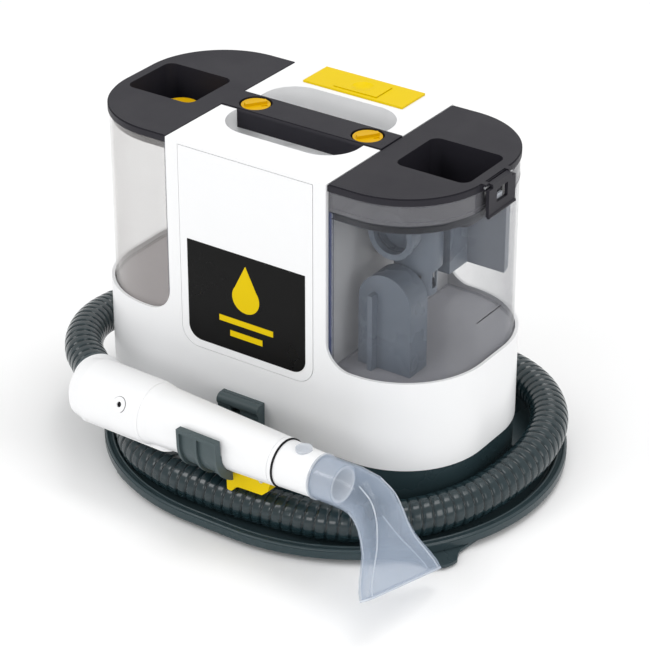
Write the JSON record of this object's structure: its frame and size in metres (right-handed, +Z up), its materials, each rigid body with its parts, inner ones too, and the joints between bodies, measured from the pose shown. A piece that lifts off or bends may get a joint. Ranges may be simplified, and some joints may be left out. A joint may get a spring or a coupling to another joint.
{
  "type": "spot extractor",
  "caption": "Portable carpet and upholstery spot cleaner with lift-off clean and dirty water tanks, a hose tray, and a trigger wand with a clear nozzle resting in a side clip.",
  "frame": {"origin": "on the floor under the middle of the housing", "axes": "+Z up, -Y the front with the wand clip and the label, +X toward the dirty water tank"},
  "size_m": [0.4955, 0.4589, 0.3326],
  "materials": {
    "white_shell": "gloss white moulding",
    "dark_tray": "satin slate moulding",
    "charcoal": "fine-grained charcoal",
    "yellow": "gloss yellow",
    "rubber": "matt black rubber",
    "steel": "bright zinc",
    "motor_grey": "satin grey",
    "board_green": "circuit board",
    "clear_tank": "clear moulding",
    "smoky_tank": "smoky moulding",
    "smoky_part": "smoky grey moulding",
    "label_black": "printed film",
    "clip_grey": "mid grey moulding",
    "hose_slate": "glossy corrugated hose",
    "clear_nozzle": "clear moulding",
    "brass": "machined brass",
    "orange": "float"
  },
  "bodies": {
    "housing": {"base_tray": "dark_tray", "rubber_feet": "rubber", "base_screws": "steel", "main_shell": "white_shell", "front_panel": "white_shell", "label_plate": "label_black", "label_emblem": "yellow", "rear_cover": "white_shell", "rear_screws": "steel", "handle_well": "white_shell", "handle_bar": "charcoal", "trim_bar": "yellow", "power_switch": "charcoal", "vacuum_motor": "motor_grey", "motor_fan_case": "motor_grey", "motor_seat": "rubber", "pump_body": "motor_grey", "pump_bracket": "motor_grey", "control_board": "board_green", "cord_gland": "rubber", "suction_duct": "dark_tray", "hose_port": "dark_tray", "valve_seat": "charcoal", "duct_seal": "rubber", "wand_clip": "clip_grey", "clip_screws": "steel", "hose": "hose_slate"},
    "button": {"power_button": "yellow"},
    "clean_water_tank": {"clean_tank": "clear_tank", "clean_lid": "charcoal", "clean_gasket": "rubber", "clean_valve": "charcoal"},
    "cap": {"fill_cap": "yellow"},
    "dirty_water_tank": {"dirty_tank": "smoky_tank", "dirty_duct": "smoky_part", "latch_catch": "clear_nozzle"},
    "tank_cover": {"dirty_lid": "charcoal", "lid_skirt": "smoky_tank", "dirty_gasket": "rubber", "inlet_elbow": "smoky_part", "float_cage": "smoky_part", "filter_box": "smoky_part", "latch_pin": "steel"},
    "float": {"float_ball": "orange"},
    "latch": {"lid_latch": "charcoal"},
    "left_knob": {"knob_left": "yellow"},
    "right_knob": {"knob_right": "yellow"},
    "wand": {"wand_shell": "white_shell", "wand_neck": "white_shell", "end_ring": "rubber", "grip_screws": "steel", "spray_valve": "brass", "trigger_pin": "steel", "hose_collar": "dark_tray"},
    "wand_trigger": {"trigger": "yellow"},
    "nozzle_head": {"nozzle": "clear_nozzle", "nozzle_ring": "clear_nozzle", "spray_tip": "charcoal"},
    "release": {"nozzle_button": "clear_nozzle"}
  },
  "joints": [
    {"name": "power_press", "type": "slide", "parent": "housing", "child": "button", "axis": [0, 0, -1], "range_m": [0, 0.002], "stiffness_N_per_m": 900},
    {"name": "clean_tank_lift", "type": "slide", "parent": "housing", "child": "clean_water_tank", "axis": [0, 0, 1], "range_m": [0, 0.2]},
    {"name": "fill_cap_turn", "type": "hinge", "parent": "clean_water_tank", "child": "cap", "pos_m": [-0.15, 0.002, 0.3], "axis": [0, 0, 1], "range_deg": [0, 60]},
    {"name": "dirty_tank_lift", "type": "slide", "parent": "housing", "child": "dirty_water_tank", "axis": [0, 0, 1], "range_m": [0, 0.2]},
    {"name": "dirty_lid_lift", "type": "slide", "parent": "dirty_water_tank", "child": "tank_cover", "axis": [0, 0, 1], "range_m": [0, 0.1]},
    {"name": "float_rise", "type": "slide", "parent": "tank_cover", "child": "float", "axis": [0, 0, 1], "range_m": [0, 0.012]},
    {"name": "latch_swing", "type": "hinge", "parent": "tank_cover", "child": "latch", "pos_m": [0.199, -0.003, 0.3266], "axis": [0, -1, 0], "range_deg": [0, 60]},
    {"name": "left_knob_turn", "type": "hinge", "parent": "housing", "child": "left_knob", "pos_m": [-0.0615, 0, 0.328], "axis": [0, 0, 1], "range_deg": [0, 90]},
    {"name": "right_knob_turn", "type": "hinge", "parent": "housing", "child": "right_knob", "pos_m": [0.0615, 0, 0.328], "axis": [0, 0, 1], "range_deg": [0, 90]},
    {"name": "wand_lift", "type": "slide", "parent": "housing", "child": "wand", "axis": [0, 0, 1], "range_m": [0, 0.12]},
    {"name": "trigger_pull", "type": "hinge", "parent": "wand", "child": "wand_trigger", "pos_m": [0.07561, -0.1785, 0.06982], "axis": [0.0645, 0.9979, 0], "range_deg": [0, 4], "stiffness_Nm_per_rad": 3},
    {"name": "nozzle_pull", "type": "slide", "parent": "wand", "child": "nozzle_head", "axis": [0.9974, -0.0645, 0.0332], "range_m": [0, 0.05]},
    {"name": "release_press", "type": "slide", "parent": "wand", "child": "release", "axis": [0.0331, -0.0021, -0.9995], "range_m": [0, 0.0015], "stiffness_N_per_m": 800}
  ]
}
